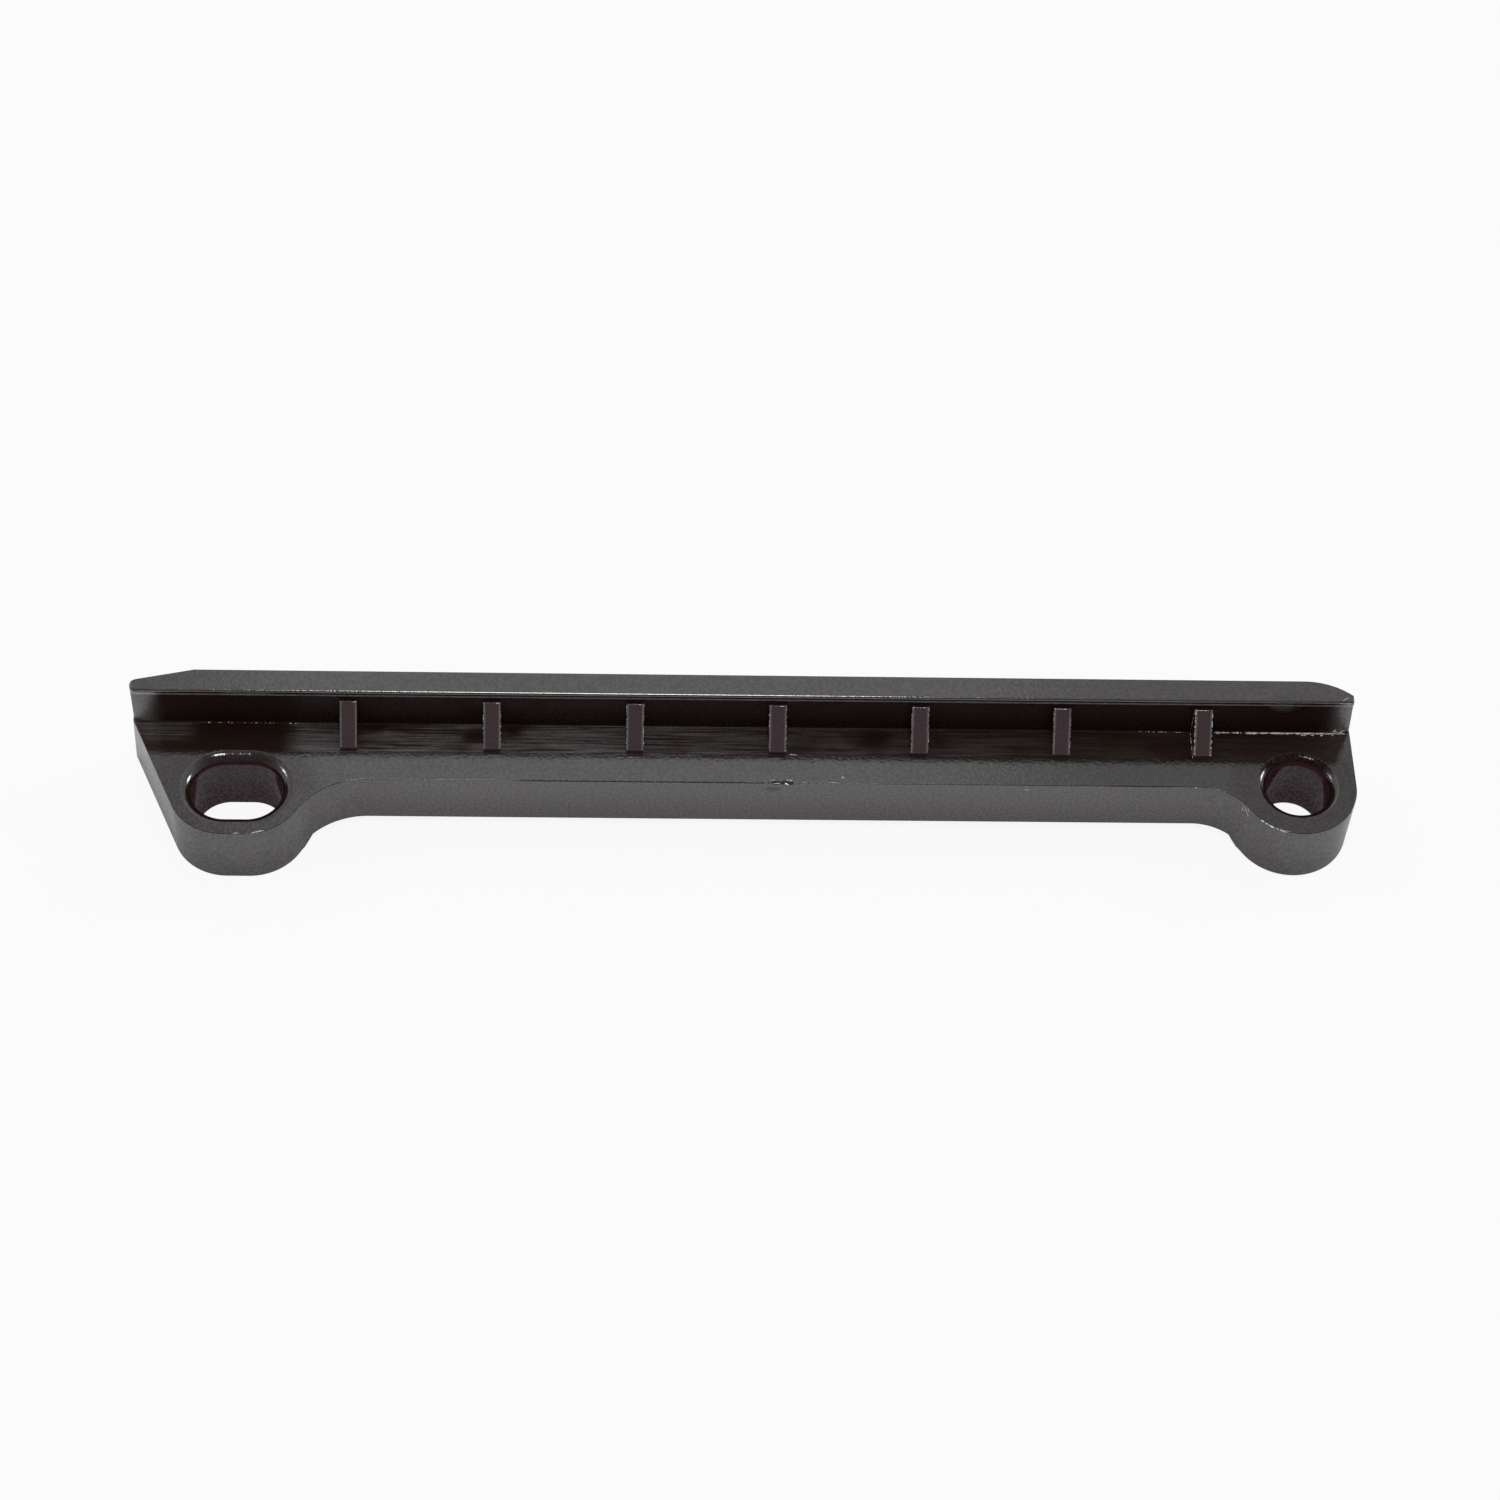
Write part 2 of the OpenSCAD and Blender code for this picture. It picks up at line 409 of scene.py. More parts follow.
    @cached_property
    def rims(self) -> Value:
        """Mask of the far sides of the holes' rounded rims, where painted shade dulls the highlights.

        Returns:
            The mask, stronger round the bore.
        """
        bore, slot = self.rounds
        near = bore.fall(*self.bore_rim) * self.bore_rim_share + slot.fall(*self.slot_rim)
        return near * self.spot.across.rise(*self.rim_far) * self.spot.up.rise(*self.rim_level)

    @cached_property
    def above_foot(self) -> Value:
        """Mask of what stands on the foot, up to the rounding of the rim."""
        rim = self.foot.lines.wall_height - self.wall.front_round
        return self.height.within(*self.foot_gap, rim - self.rim_gap, rim)

    @cached_property
    def on_ribs(self) -> Value:
        """Mask of the ribs."""
        return self.above_foot * self.behind.fall(*self.wall_depth[:2])

    @cached_property
    def on_wall(self) -> Value:
        """Mask of the wall's front face."""
        return self.above_foot * self.behind.within(*self.wall_depth)

    @cached_property
    def wall_end_reflection(self) -> Value:
        """Mask of the wall's two ends, where a reflection is painted lighter."""
        ends = self.spot.along.fall(*self.wall_tip) + self.spot.along.rise(*self.wall_bore_end)
        return self.on_wall * ends

    @cached_property
    def rail_end_sheen(self) -> Value:
        """Mask of the rail's top towards its two ends, where a sheen is painted."""
        ends = self.spot.along.fall(*self.rail_slot_end) + self.spot.along.rise(*self.rail_bore_end)
        return (self.spot.up - self.foot.lines.rail_top).rise(*self.rail_skin) * ends

    @cached_property
    def bosses(self) -> Value:
        """Mask of the bosses' tops and, fainter, of their upright sides, where shade is painted.

        Returns:
            The mask.
        """
        (bore, slot), tilt = self.rounds, self.spot.tilt
        turned = tilt.rise(*self.boss_top) + tilt.fall(*self.boss_side) * self.boss_side_share
        return (bore.fall(*self.bore_boss) + slot.fall(*self.slot_boss)) * turned

    @cached_property
    def low_sides(self) -> Value:
        """Mask of the sides of the foot, strongest at the bottom, where shade is painted."""
        return self.spot.up.fall(*self.low_level) * (1 - self.upward)

    @cached_property
    def foot_edge(self) -> Value:
        """Mask of the foot's rounded top edge in front of the wall, where painted shade dulls its highlight.
        """
        rounded = self.height.within(*self.edge_height) * self.spot.tilt.fall(*self.edge_tilt)
        return rounded * self.behind.fall(*self.edge_end)

    @cached_property
    def edge_line_shade(self) -> Value:
        """Mask of the dark line of painted shade along the foot's front top edge.

        Returns:
            The mask, strongest where the line is plain to see.
        """
        along = self.spot.along
        beside = abs(self.spot.across - self.foot.lines.foot_front).fall(*self.dark_line_width)
        seen = along.within(*self.dark_line_plain) + along.within(*self.dark_line_faint) * self.faint_share
        return beside * self.height.within(*self.dark_line_height) * seen

    @cached_property
    def rib_edge_highlights(self) -> Value:
        """Mask of the painted highlights down both edges of each rib.

        Returns:
            The mask.
        """
        ribs = self.ribs
        beside = self.spot.shader.maths("PINGPONG", self.spot.along - ribs.first, ribs.pitch / 2)
        sides = (beside - ribs.width / 2).rise(*self.rib_side)
        return sides * self.spot.tilt.rise(*self.rib_tilt) * self.on_ribs

    @cached_property
    def lip(self) -> Value:
        """Mask of the painted highlight along the rim's lower edge."""
        level = self.foot.lines.wall_height - self.wall.rim_height + self.lip_rise
        return abs(self.height - level).fall(*self.lip_width) * self.on_wall

    @cached_property
    def smudge(self) -> Value:
        """Mask of the dull smudge on the front face beside the knock.

        Returns:
            The mask.
        """
        along = (self.spot.along - self.smudge_along) * self.smudge_squeeze[0]
        up = (self.spot.up - self.smudge_up) * self.smudge_squeeze[1]
        return (along**2 + up**2).fall(*self.smudge_span) * self.spot.across.fall(*self.smudge_back)

    @cached_property
    def knock(self) -> Value:
        """Mask of the knock's hollows in the front edge, where shade is painted.

        Returns:
            The mask.
        """
        spot = self.spot
        depth = (spot.across - self.foot.lines.foot_front).rise(*self.knock_front)
        hollow = spot.up.rise(*self.knock_up) * spot.tilt.fall(*self.knock_tilt)
        return spot.along.within(*self.knock_along) * depth * spot.across.fall(*self.knock_back) * hollow

    @cached_property
    def chip(self) -> Value:
        """Mask of the scratch across the rail's top at the bore end.

        Returns:
            The mask.
        """
        spot = self.spot
        beside = abs(spot.across - (spot.along * self.chip_slope + self.chip_across))
        length = spot.along.within(*self.chip_along)
        return beside.fall(*self.chip_width) * length * spot.up.rise(*self.chip_up)


@dataclass(frozen=True)
class NylonFinish(Finish):
    """Glossy black nylon with flow marks, lengthwise tool marks, a fine grain, a dull smudge, and painted
    shade, sheen and highlights.
    """

    name: ClassVar[str] = "black_nylon"
    foot: "Foot"
    wall: "Wall"
    ribs: "Ribs"
    plum: Colour = (0.0195, 0.0075, 0.0070)
    umber: Colour = (0.0175, 0.0090, 0.0030)
    scored_and_sheen: Colour = (0.150, 0.136, 0.136)
    bare_and_highlight: Colour = (0.50, 0.48, 0.48)
    # dull and dusky colour the diffuse shader that paints shade in the holes and elsewhere; dusky also tints
    # the ribs, and dull also gives flecks and the smudge.
    dull: Colour = (0.016, 0.0065, 0.0050)
    dusky: Colour = (0.085, 0.031, 0.050)
    gloss: float = 0.10
    side_gloss: float = 0.14
    refraction: float = 2.28
    streak_scale: float = 5.5
    streak_squeeze: float = 0.02
    streak_span: Span = (0.34, 0.62)
    streak_height: float = 0.006
    streak_blur: float = 0.1
    grain_scale: float = 2.5
    grain_height: float = 0.015
    wave_scale: float = 0.45
    wave_squeeze: float = 0.5
    wave_height: float = 0.006
    flow_scale: float = 0.35
    flow_squeeze: float = 0.6
    flow_span: Span = (0.36, 0.64)
    fleck: float = 0.18
    fleck_span: Span = (0.4, 0.6)
    hole_shade_share: float = 0.46
    rim_shade_share: float = 0.5
    knock_shade_share: float = 0.5
    smudge_matt: float = 0.3
    rib_matt: float = 0.3
    wall_shade_share: float = 0.80
    wall_fade: float = 0.42
    wall_fade_height: float = 6.0
    boss_shade_share: float = 0.18
    low_shade_share: float = 0.17
    edge_shade_share: float = 0.85
    edge_line_shade_share: float = 0.9
    rib_highlight_share: float = 0.45
    lip_highlight_share: float = 0.7
    end_reflection_share: float = 0.16
    end_blur: float = 0.3
    rail_sheen_share: float = 0.18

    def paint(self, shader: Shader) -> Value:
        """Add the nylon's nodes.

        Args:
            shader: The shader of the material.

        Returns:
            The surface, glossy, mixed with dull diffuse nylon where shade is painted, on the ribs, at flecks
            of the grain and at the smudge.
        """
        marks = NylonMarks(Spot.on(shader), self.foot, self.wall, self.ribs)
        place = marks.spot.place
        grain = shader.cloud(place, self.grain_scale)
        waves = shader.cloud(shader.squeezed(place, self.wave_squeeze), self.wave_scale, detail=1.0)
        drawn_out = shader.squeezed(place, self.streak_squeeze)
        streaks = shader.cloud(drawn_out, self.streak_scale, detail=3.0, rough=0.65)
        lines = streaks.rise(*self.streak_span) * marks.wear_and_sheen
        height = streaks * marks.wear_and_sheen * self.streak_height
        height = height + grain * self.grain_height + waves * self.wave_height
        inputs = {
            "Base Color": self.colour(marks, lines),
            "Roughness": self.roughness(marks, lines),
            "IOR": self.refraction,
            "Normal": shader.node("ShaderNodeBump", None, {"Distance": MM, "Height": height}, "Normal"),
        }
        glossy = shader.node("ShaderNodeBsdfPrincipled", None, inputs)
        # Painted shade in the bolt holes, and a tint on the ribs.
        shade_and_tint = marks.holes * self.hole_shade_share + marks.on_ribs * self.rib_matt
        dull, dusky = (
            shader.node("ShaderNodeBsdfDiffuse", None, {"Color": (*colour, 1.0)})
            for colour in (self.dull, self.dusky)
        )
        tint = shade_and_tint.rise(0.0, self.rib_matt)
        matt_and_shade = shader.node("ShaderNodeMixShader", None, {0: tint, 1: dull, 2: dusky})
        # The share mixes in painted shade, the smudge and the grain's flecks.
        share = shade_and_tint + self.shade(marks) + grain.rise(*self.fleck_span) * self.fleck
        return shader.node("ShaderNodeMixShader", None, {0: share, 1: glossy, 2: matt_and_shade})

    def roughness(self, marks: NylonMarks, lines: Value) -> Value:
        """Roughness of the nylon.

        Args:
            marks: Masks of the marks on it.
            lines: Mask of the tool marks.

        Returns:
            The roughness, greatest at the wall's two ends.
        """
        polish = self.side_gloss + marks.upward * (self.gloss - self.side_gloss)
        return polish + lines * self.streak_blur + marks.wall_end_reflection * self.end_blur

    def colour(self, marks: NylonMarks, lines: Value) -> Value:
        """Colour of the nylon.

        Args:
            marks: Masks of the marks on it.
            lines: Mask of the tool marks.

        Returns:
            The colour with flow marks, tool marks, a chip, and painted sheen, highlights and reflection.
        """
        shader = marks.spot.shader
        drawn_out = shader.squeezed(marks.spot.place, self.flow_squeeze)
        flow = shader.cloud(drawn_out, self.flow_scale, detail=3.0)
        colour = shader.blend(flow.rise(*self.flow_span), self.plum, self.umber)
        # Tool marks with their painted sheen, and painted sheen on the rail's top towards its ends.
        colour = shader.blend(lines + marks.rail_end_sheen * self.rail_sheen_share, colour, self.scored_and_sheen)
        # Painted highlights on the rib edges and the rim's lip, and a painted reflection on the wall's ends;
        # the chip is a real scratch.
        painted_light = marks.rib_edge_highlights * self.rib_highlight_share + marks.lip * self.lip_highlight_share + marks.wall_end_reflection * self.end_reflection_share
        return shader.blend(marks.chip + painted_light, colour, self.bare_and_highlight)

    def shade(self, marks: NylonMarks) -> Value:
        """Share of the dull diffuse shader, which paints shade on the wall, foot edge, bosses, low sides,
        rims and knock, and gives the real smudge.

        Args:
            marks: Masks of the marks on the nylon.

        Returns:
            The share, greatest low on the wall and along the foot's top edge.
        """
        # Painted shade on the wall's face, darkest low down by the foot.
        depth = self.wall_shade_share - marks.height.rise(0.0, self.wall_fade_height) * self.wall_fade
        edge, line = marks.foot_edge * self.edge_shade_share, marks.edge_line_shade * self.edge_line_shade_share
        share = (marks.on_wall - marks.wall_end_reflection) * depth + marks.spot.shader.maths("MAXIMUM", edge, line)
        for mask, matt_and_shade in (
            (marks.bosses, self.boss_shade_share),
            (marks.low_sides, self.low_shade_share),
            (marks.rims, self.rim_shade_share),
            (marks.smudge, self.smudge_matt),
            (marks.knock, self.knock_shade_share),
        ):
            share = share + mask * matt_and_shade
        return share


@dataclass(frozen=True)
class FlashFinish(Finish):
    """Thin torn nylon that has gone pale, as flash and burrs do, also used for two painted glints."""

    name: ClassVar[str] = "torn_nylon"
    pale: Colour = (0.92, 0.90, 0.89)
    dull: Colour = (0.30, 0.27, 0.28)
    patch_scale: float = 2.4
    patch_span: Span = (0.34, 0.56)
    roughness: float = 0.45

    def paint(self, shader: Shader) -> Value:
        """Add the nodes of the torn nylon.

        Args:
            shader: The shader of the material.

        Returns:
            The pale surface with duller patches.
        """
        patches = shader.cloud(shader.place(), self.patch_scale, detail=3.0).rise(*self.patch_span)
        inputs = {"Base Color": shader.blend(patches, self.dull, self.pale), "Roughness": self.roughness}
        return shader.node("ShaderNodeBsdfPrincipled", None, inputs)


@dataclass(frozen=True)
class FloorFinish(Finish):
    """Plain white floor that keeps a soft shadow."""

    name: ClassVar[str] = "studio_floor"
    pale: Colour = (0.92, 0.92, 0.92)
    palest: Colour = (0.9568, 0.9568, 0.9568)
    mottle_scale: float = 0.01
    lift_seen: float = 0.9
    lift_mirrored: float = 0.28

    def paint(self, shader: Shader) -> Value:
        """Add the floor's nodes.

        Args:
            shader: The shader of the material.

        Returns:
            The lit floor, lifted towards white where it is seen, mirrored or seen through glass.
        """
        colour = shader.blend(shader.cloud(shader.place(), self.mottle_scale), self.pale, self.palest)
        inputs = {"Base Color": colour, "Roughness": 1.0, "Specular IOR Level": 0.0}
        lit = shader.node("ShaderNodeBsdfPrincipled", None, inputs)
        white = shader.node("ShaderNodeEmission", None, {"Color": (*WHITE, 1.0), "Strength": 1.0})
        kinds = ("Is Camera Ray", "Is Glossy Ray", "Is Transmission Ray")
        seen, mirrored, through = (shader.node("ShaderNodeLightPath", None, None, kind) for kind in kinds)
        lift = (seen + through) * self.lift_seen + mirrored * self.lift_mirrored
        return shader.node("ShaderNodeMixShader", None, {0: lift, 1: lit, 2: white})


# Plans and solids


def heading(angle: float) -> Vector:
    """Unit direction of an angle in degrees."""
    return Vector((math.cos(math.radians(angle)), math.sin(math.radians(angle))))


def bearing(start: Vector, end: Vector) -> float:
    """Angle in degrees of the line from one point to another."""
    return math.degrees(math.atan2(end.y - start.y, end.x - start.x))


def arc(
    centre: Vector, radius: float, start: float, end: float, count: int = 0, depth: float | None = None
) -> Plan:
    """Points along a round stretch.

    Args:
        centre: Centre of the arc.
        radius: Its radius.
        start: Angle of the first point, in degrees.
        end: Angle of the last point, smaller than start for a clockwise arc.
        count: Number of steps, or 0 for steps of about ARC_STEP.
        depth: Radius across the rail, where it differs.

    Returns:
        The points, ends included.
    """
    count = count or max(2, math.ceil(abs(end - start) / ARC_STEP))
    size = Vector((radius, radius if depth is None else depth))
    return [centre + size * heading(start + (end - start) * i / count) for i in range(count + 1)]


def touch_point(point: Vector, centre: Vector, radius: float) -> Vector:
    """Point where a line from an outside point touches a circle, turning left seen from the circle."""
    lean = math.degrees(math.acos(radius / (point - centre).length))
    return centre + radius * heading(bearing(centre, point) + lean)


def inset(plan: Plan, depth: float) -> Plan:
    """Draw a closed plan in towards its inside.

    Args:
        plan: Points in counter-clockwise order.
        depth: Distance inwards, or outwards if negative.

    Returns:
        As many points, with mitred corners.
    """
    moved = []
    for i, point in enumerate(plan):
        before = (point - plan[i - 1]).normalized()
        after = (plan[(i + 1) % len(plan)] - point).normalized()
        outward = Vector((before.y, -before.x)) + Vector((after.y, -after.x))
        moved.append(point - outward * depth * 2 / outward.length_squared)
    return moved


def rounding(radius: float, steps: int = 5) -> list[tuple[float, float]]:
    """Depths in and down of a quarter round, from its side to its top."""
    angles = [math.pi / 2 * i / steps for i in range(steps + 1)]
    return [(radius * (1 - math.cos(a)), radius * (1 - math.sin(a))) for a in angles]


def level_ring(plan: Plan, level: float) -> Ring:
    """A plan raised to a level."""
    return [Vector((p.x, p.y, level)) for p in plan]


def new_piece(name: str, bm: bmesh.types.BMesh, finish: Finish | None = None) -> bpy.types.Object:
    """Turn a mesh in millimetres into an object in metres.

    Args:
        name: The object's name.
        bm: The mesh, which is freed.
        finish: The finish that it is dressed in, if it has one yet.

    Returns:
        The linked object.
    """
    bmesh.ops.recalc_face_normals(bm, faces=bm.faces)
    bmesh.ops.scale(bm, vec=(MM, MM, MM), verts=bm.verts)
    mesh = bpy.data.meshes.new(name)
    bm.to_mesh(mesh)
    bm.free()
    piece = bpy.data.objects.new(name, mesh)
    bpy.context.scene.collection.objects.link(piece)
    if finish:
        mesh.materials.append(finish.make())
    return piece


def add_stack(bm: bmesh.types.BMesh, rings: list[Ring]) -> list[bmesh.types.BMVert]:
    """Add a closed solid that is skinned over rings.

    Args:
        bm: The mesh that takes it.
        rings: Rings with as many points each, from one cap to the other.

    Returns:
        The new vertices.
    """
    rows = [[bm.verts.new(p) for p in ring] for ring in rings]
    count = len(rows[0])
    for lower, upper in zip(rows, rows[1:]):
        for i in range(count):
            j = (i + 1) % count
            bm.faces.new((lower[i], lower[j], upper[j], upper[i]))
    bm.faces.new(reversed(rows[0]))
    bm.faces.new(rows[-1])
    return [v for row in rows for v in row]


def stack(name: str, rings: list[Ring]) -> bpy.types.Object:
    """Make a closed solid that is skinned over rings.

    Args:
        name: The object's name.
        rings: Rings with as many points each, from one cap to the other.

    Returns:
        The solid as an object.
    """
    bm = bmesh.new()
    add_stack(bm, rings)
    return new_piece(name, bm)


def rough_lump(
    bm: bmesh.types.BMesh, middle: Vector, form: Matrix, rng: random.Random, rough: Span, detail: int
) -> None:
    """Add a rough lump.

    Args:
        bm: The mesh that takes it.
        middle: Its middle.
        form: Its size and turn.
        rng: Source of its roughness.
        rough: Least and greatest share of its size that a point of it stands out.
        detail: How finely it is divided.
    """
    lump = bmesh.ops.create_icosphere(
        bm, subdivisions=detail, radius=1, matrix=Matrix.Translation(middle) @ form
    )
    for vert in lump["verts"]:
        vert.co = middle + (vert.co - middle) * rng.uniform(*rough)


def combine(body: bpy.types.Object, other: bpy.types.Object, how: Combine) -> None:
    """Join a solid to another, or cut it out, and delete the second.

    Args:
        body: The solid that is changed.
        other: The solid that is joined or cut out.
        how: Which of the two.
    """
    step = body.modifiers.new(how.name, "BOOLEAN")
    step.operation = how.value
    step.solver = "EXACT"
    step.object = other
    graph = bpy.context.evaluated_depsgraph_get()
    mesh = bpy.data.meshes.new_from_object(body.evaluated_get(graph))
    body.modifiers.clear()
    old = body.data
    body.data = mesh
    bpy.data.meshes.remove(old)
    bpy.data.objects.remove(other)


# The moulding


@dataclass
class RailLines:
    """Lines and levels that the guide's parts share, from the frame's box."""

    low: Vector
    high: Vector
    wall_thickness: float = 3.4
    wall_height: float = 7.35
    foot_depth: float = 9.2
    bore_end_ledge: float = 0.05
    bore_end_lean: float = 0.45
    slot_end_ledge: float = 0.05
    slot_end_lean: float = 0.5
    taper_length: float = 8.5
    tip_radius: float = 0.95
    rim_step: float = 0.2
    curve_length: float = 6.5
    curve_radius: float = 10.0

    def __post_init__(self) -> None:
        """Work out the shared lines, levels and lead-ins."""
        self.face = self.high.y
        self.wall_front = self.face - self.wall_thickness
        self.rim_front = self.wall_front - self.rim_step
        self.foot_front = self.wall_front - self.foot_depth
        self.rail_top = self.high.z
        self.foot_top = self.rail_top - self.wall_height
        self.bore_boss = self.high.x
        self.foot_left = self.low.x
        self.wall_right = self.bore_boss - self.bore_end_ledge
        self.wall_left = self.foot_left + self.slot_end_ledge + self.slot_end_lean
        self.tip = Vector((self.wall_left + self.tip_radius, self.rim_front + self.tip_radius))
        self.taper_start = Vector((self.wall_left + self.taper_length, self.face))
        self.taper_end = touch_point(self.taper_start, self.tip, self.tip_radius)
        curve_start = self.wall_right - self.bore_end_lean - self.curve_length
        self.curve_centre = Vector((curve_start, self.face - self.curve_radius))

    @classmethod
    def of_node(cls, node: str) -> "RailLines":
        """Take the lines from a CAD node's box."""
        low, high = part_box(node)
        return cls(low / MM, high / MM)

    def wall_end(self, level: float) -> float:
        """Place along the rail of the wall's leaning bore end at a level."""
        return self.wall_right - self.bore_end_lean * (level - self.foot_top) / self.wall_height

    def curved_lead_in(self, end: float) -> Plan:
        """Curve of the sliding face's lead-in from the bore end, given where that end lies along the rail."""
        start = math.degrees(math.acos((end - self.curve_centre.x) / self.curve_radius))
        return arc(self.curve_centre, self.curve_radius, start, 90, 14)


@dataclass
class Foot:
    """Flat foot with its two bolt bosses, holes and relief."""

    lines: RailLines
    bolt_pitch: float = 143.0
    slot_travel: float = 2.9
    slot_drop: float = 1.85
    bore_radius: float = 4.3
    slot_radius: float = 4.6
    slot_boss: float = 7.65
    bore_fillet: float = 8.0
    slot_fillet: float = 10.5
    bore_rim_round: float = 1.35
    slot_rim_round: float = 1.5
    pad_relief: float = 1.5
    pad_margin: float = 0.05
    pad_slope: float = 0.8
    top_round: float = 0.06
    bottom_round: float = 0.25
    clear: float = 1.0

    def __post_init__(self) -> None:
        """Place the holes."""
        middle = Vector((-self.bolt_pitch, -self.slot_drop))
        half = Vector((self.slot_travel / 2, 0))
        self.bore = Vector((0, 0))
        self.slot_outer = middle - half
        self.slot_inner = middle + half

    def fillet_centre(self, boss: Vector, radius: float, fillet: float, side: Side) -> Vector:
        """Centre of the inside curve beside a boss.

        Args:
            boss: Centre of the boss.
            radius: Radius of the boss.
            fillet: Radius of the inside curve.
            side: Side of the boss that the curve is on.

        Returns:
            The curve's centre.
        """
        level = self.lines.foot_front - fillet
        across = math.sqrt((radius + fillet) ** 2 - (level - boss.y) ** 2)
        return Vector((boss.x + side.value * across, level))

    def bore_curve(self, along: float) -> float:
        """Place across the rail of the inside curve beside the bore boss."""
        turn = self.fillet_centre(self.bore, self.lines.bore_boss, self.bore_fillet, Side.LEFT)
        return turn.y + math.sqrt(self.bore_fillet**2 - (along - turn.x) ** 2)

    def plan(self) -> Plan:
        """Outline of the foot seen from above.

        Returns:
            The points, counter-clockwise from the front edge's left end.
        """
        lines = self.lines
        slot_turn = self.fillet_centre(self.slot_inner, self.slot_boss, self.slot_fillet, Side.RIGHT)
        bore_turn = self.fillet_centre(self.bore, lines.bore_boss, self.bore_fillet, Side.LEFT)
        slope = (lines.taper_end - lines.taper_start) / (lines.taper_end.x - lines.taper_start.x)
        corner = lines.taper_start + slope * (lines.foot_left - lines.taper_start.x)
        slant = touch_point(corner, self.slot_outer, self.slot_boss)
        bore_arc = (bearing(self.bore, bore_turn), 0)
        slot_arc = (bearing(self.slot_outer, slant) % 360, 270)
        return [
            *arc(bore_turn, self.bore_fillet, 90, bearing(bore_turn, self.bore))[:-1],
            *arc(self.bore, lines.bore_boss, *bore_arc),
            *lines.curved_lead_in(lines.bore_boss),
            lines.taper_start,
            corner,
            *arc(self.slot_outer, self.slot_boss, *slot_arc),
            *arc(self.slot_inner, self.slot_boss, -90, bearing(self.slot_inner, slot_turn))[:-1],
            *arc(slot_turn, self.slot_fillet, bearing(slot_turn, self.slot_inner), 90),
        ]

    def rings(self) -> list[Ring]:
        """Outlines of the foot at all levels, with its lower and upper edges rounded.

        Returns:
            The rings from the bottom up.
        """
        plan, top = self.plan(), self.lines.foot_top
        lower = [level_ring(inset(plan, d), z) for d, z in reversed(rounding(self.bottom_round))]
        return lower + [level_ring(inset(plan, d), top - z) for d, z in rounding(self.top_round)]

    def hole(self, start: Vector, end: Vector, radius: float, rim: float) -> bpy.types.Object:
        """Cutter of a hole with a rounded rim.

        Args:
            start: Left end of the hole's middle line.
            end: Right end of it.
            radius: Radius of the hole.
            rim: Radius of the rounded rim.

        Returns:
            The cutter.
        """
        plan = arc(start, radius, 90, 270) + arc(end, radius, -90, 90)
        if start == end:
            plan = arc(start, radius, 0, 360)[:-1]
        top = self.lines.foot_top
        flare = [level_ring(inset(plan, -d), top - z) for d, z in rounding(rim, 10)]
        mouth = level_ring(inset(plan, -rim), top + self.clear)
        return stack("hole", [level_ring(plan, -self.clear), *flare, mouth])

    def relief(self) -> bpy.types.Object:
        """Cutter of the relief between the two mounting pads."""
        rings = [self.relief_ring(level) for level in (-self.clear, self.pad_relief)]
        return stack("relief", rings)

    def relief_ring(self, level: float) -> Ring:
        """Outline of the relief at a level.

        Args:
            level: Height of the outline, which sets how far the pads' sloping sides reach.

        Returns:
            The ring, which leaves the pads round in front and straight behind.
        """
        margin = self.pad_margin + self.pad_slope * level / self.pad_relief
        bore_pad, slot_pad = self.lines.bore_boss + margin, self.slot_boss + margin
        front, back = self.lines.low.y - 2 * self.clear, self.lines.face + self.clear
        plan = [
            Vector((self.slot_inner.x, front)),
            Vector((self.bore.x, front)),
            *arc(self.bore, bore_pad, -90, -180, 30),
            Vector((self.bore.x - bore_pad, back)),
            Vector((self.slot_inner.x + slot_pad, back)),
            *arc(self.slot_inner, slot_pad, 0, -90, 30),
        ]
        return level_ring(plan, level)

    def lean(self) -> bpy.types.Object:
        """Cutter that leans the slot end in towards the foot's top.

        Returns:
            The cutter.
        """
        lines = self.lines
        tilt = lines.slot_end_lean / lines.foot_top
        bottom, top = -self.clear, lines.foot_top + self.clear
        outside = lines.foot_left - self.slot_boss
        edge = [(outside, bottom), (lines.foot_left + tilt * bottom, bottom)]
        edge += [(lines.foot_left + tilt * top, top), (outside, top)]
        ends = (0, lines.face + self.clear)
        return stack("lean", [[Vector((x, y, z)) for x, z in edge] for y in ends])

    def build(self) -> bpy.types.Object:
        """Build the foot.

        Returns:
            The foot with its holes, in one solid.
        """
        body = stack("foot", self.rings())
        for cutter in (
            self.lean(),
            self.relief(),
            self.hole(self.bore, self.bore, self.bore_radius, self.bore_rim_round),
            self.hole(self.slot_outer, self.slot_inner, self.slot_radius, self.slot_rim_round),
        ):
            combine(body, cutter, Combine.REMOVE)
        return body


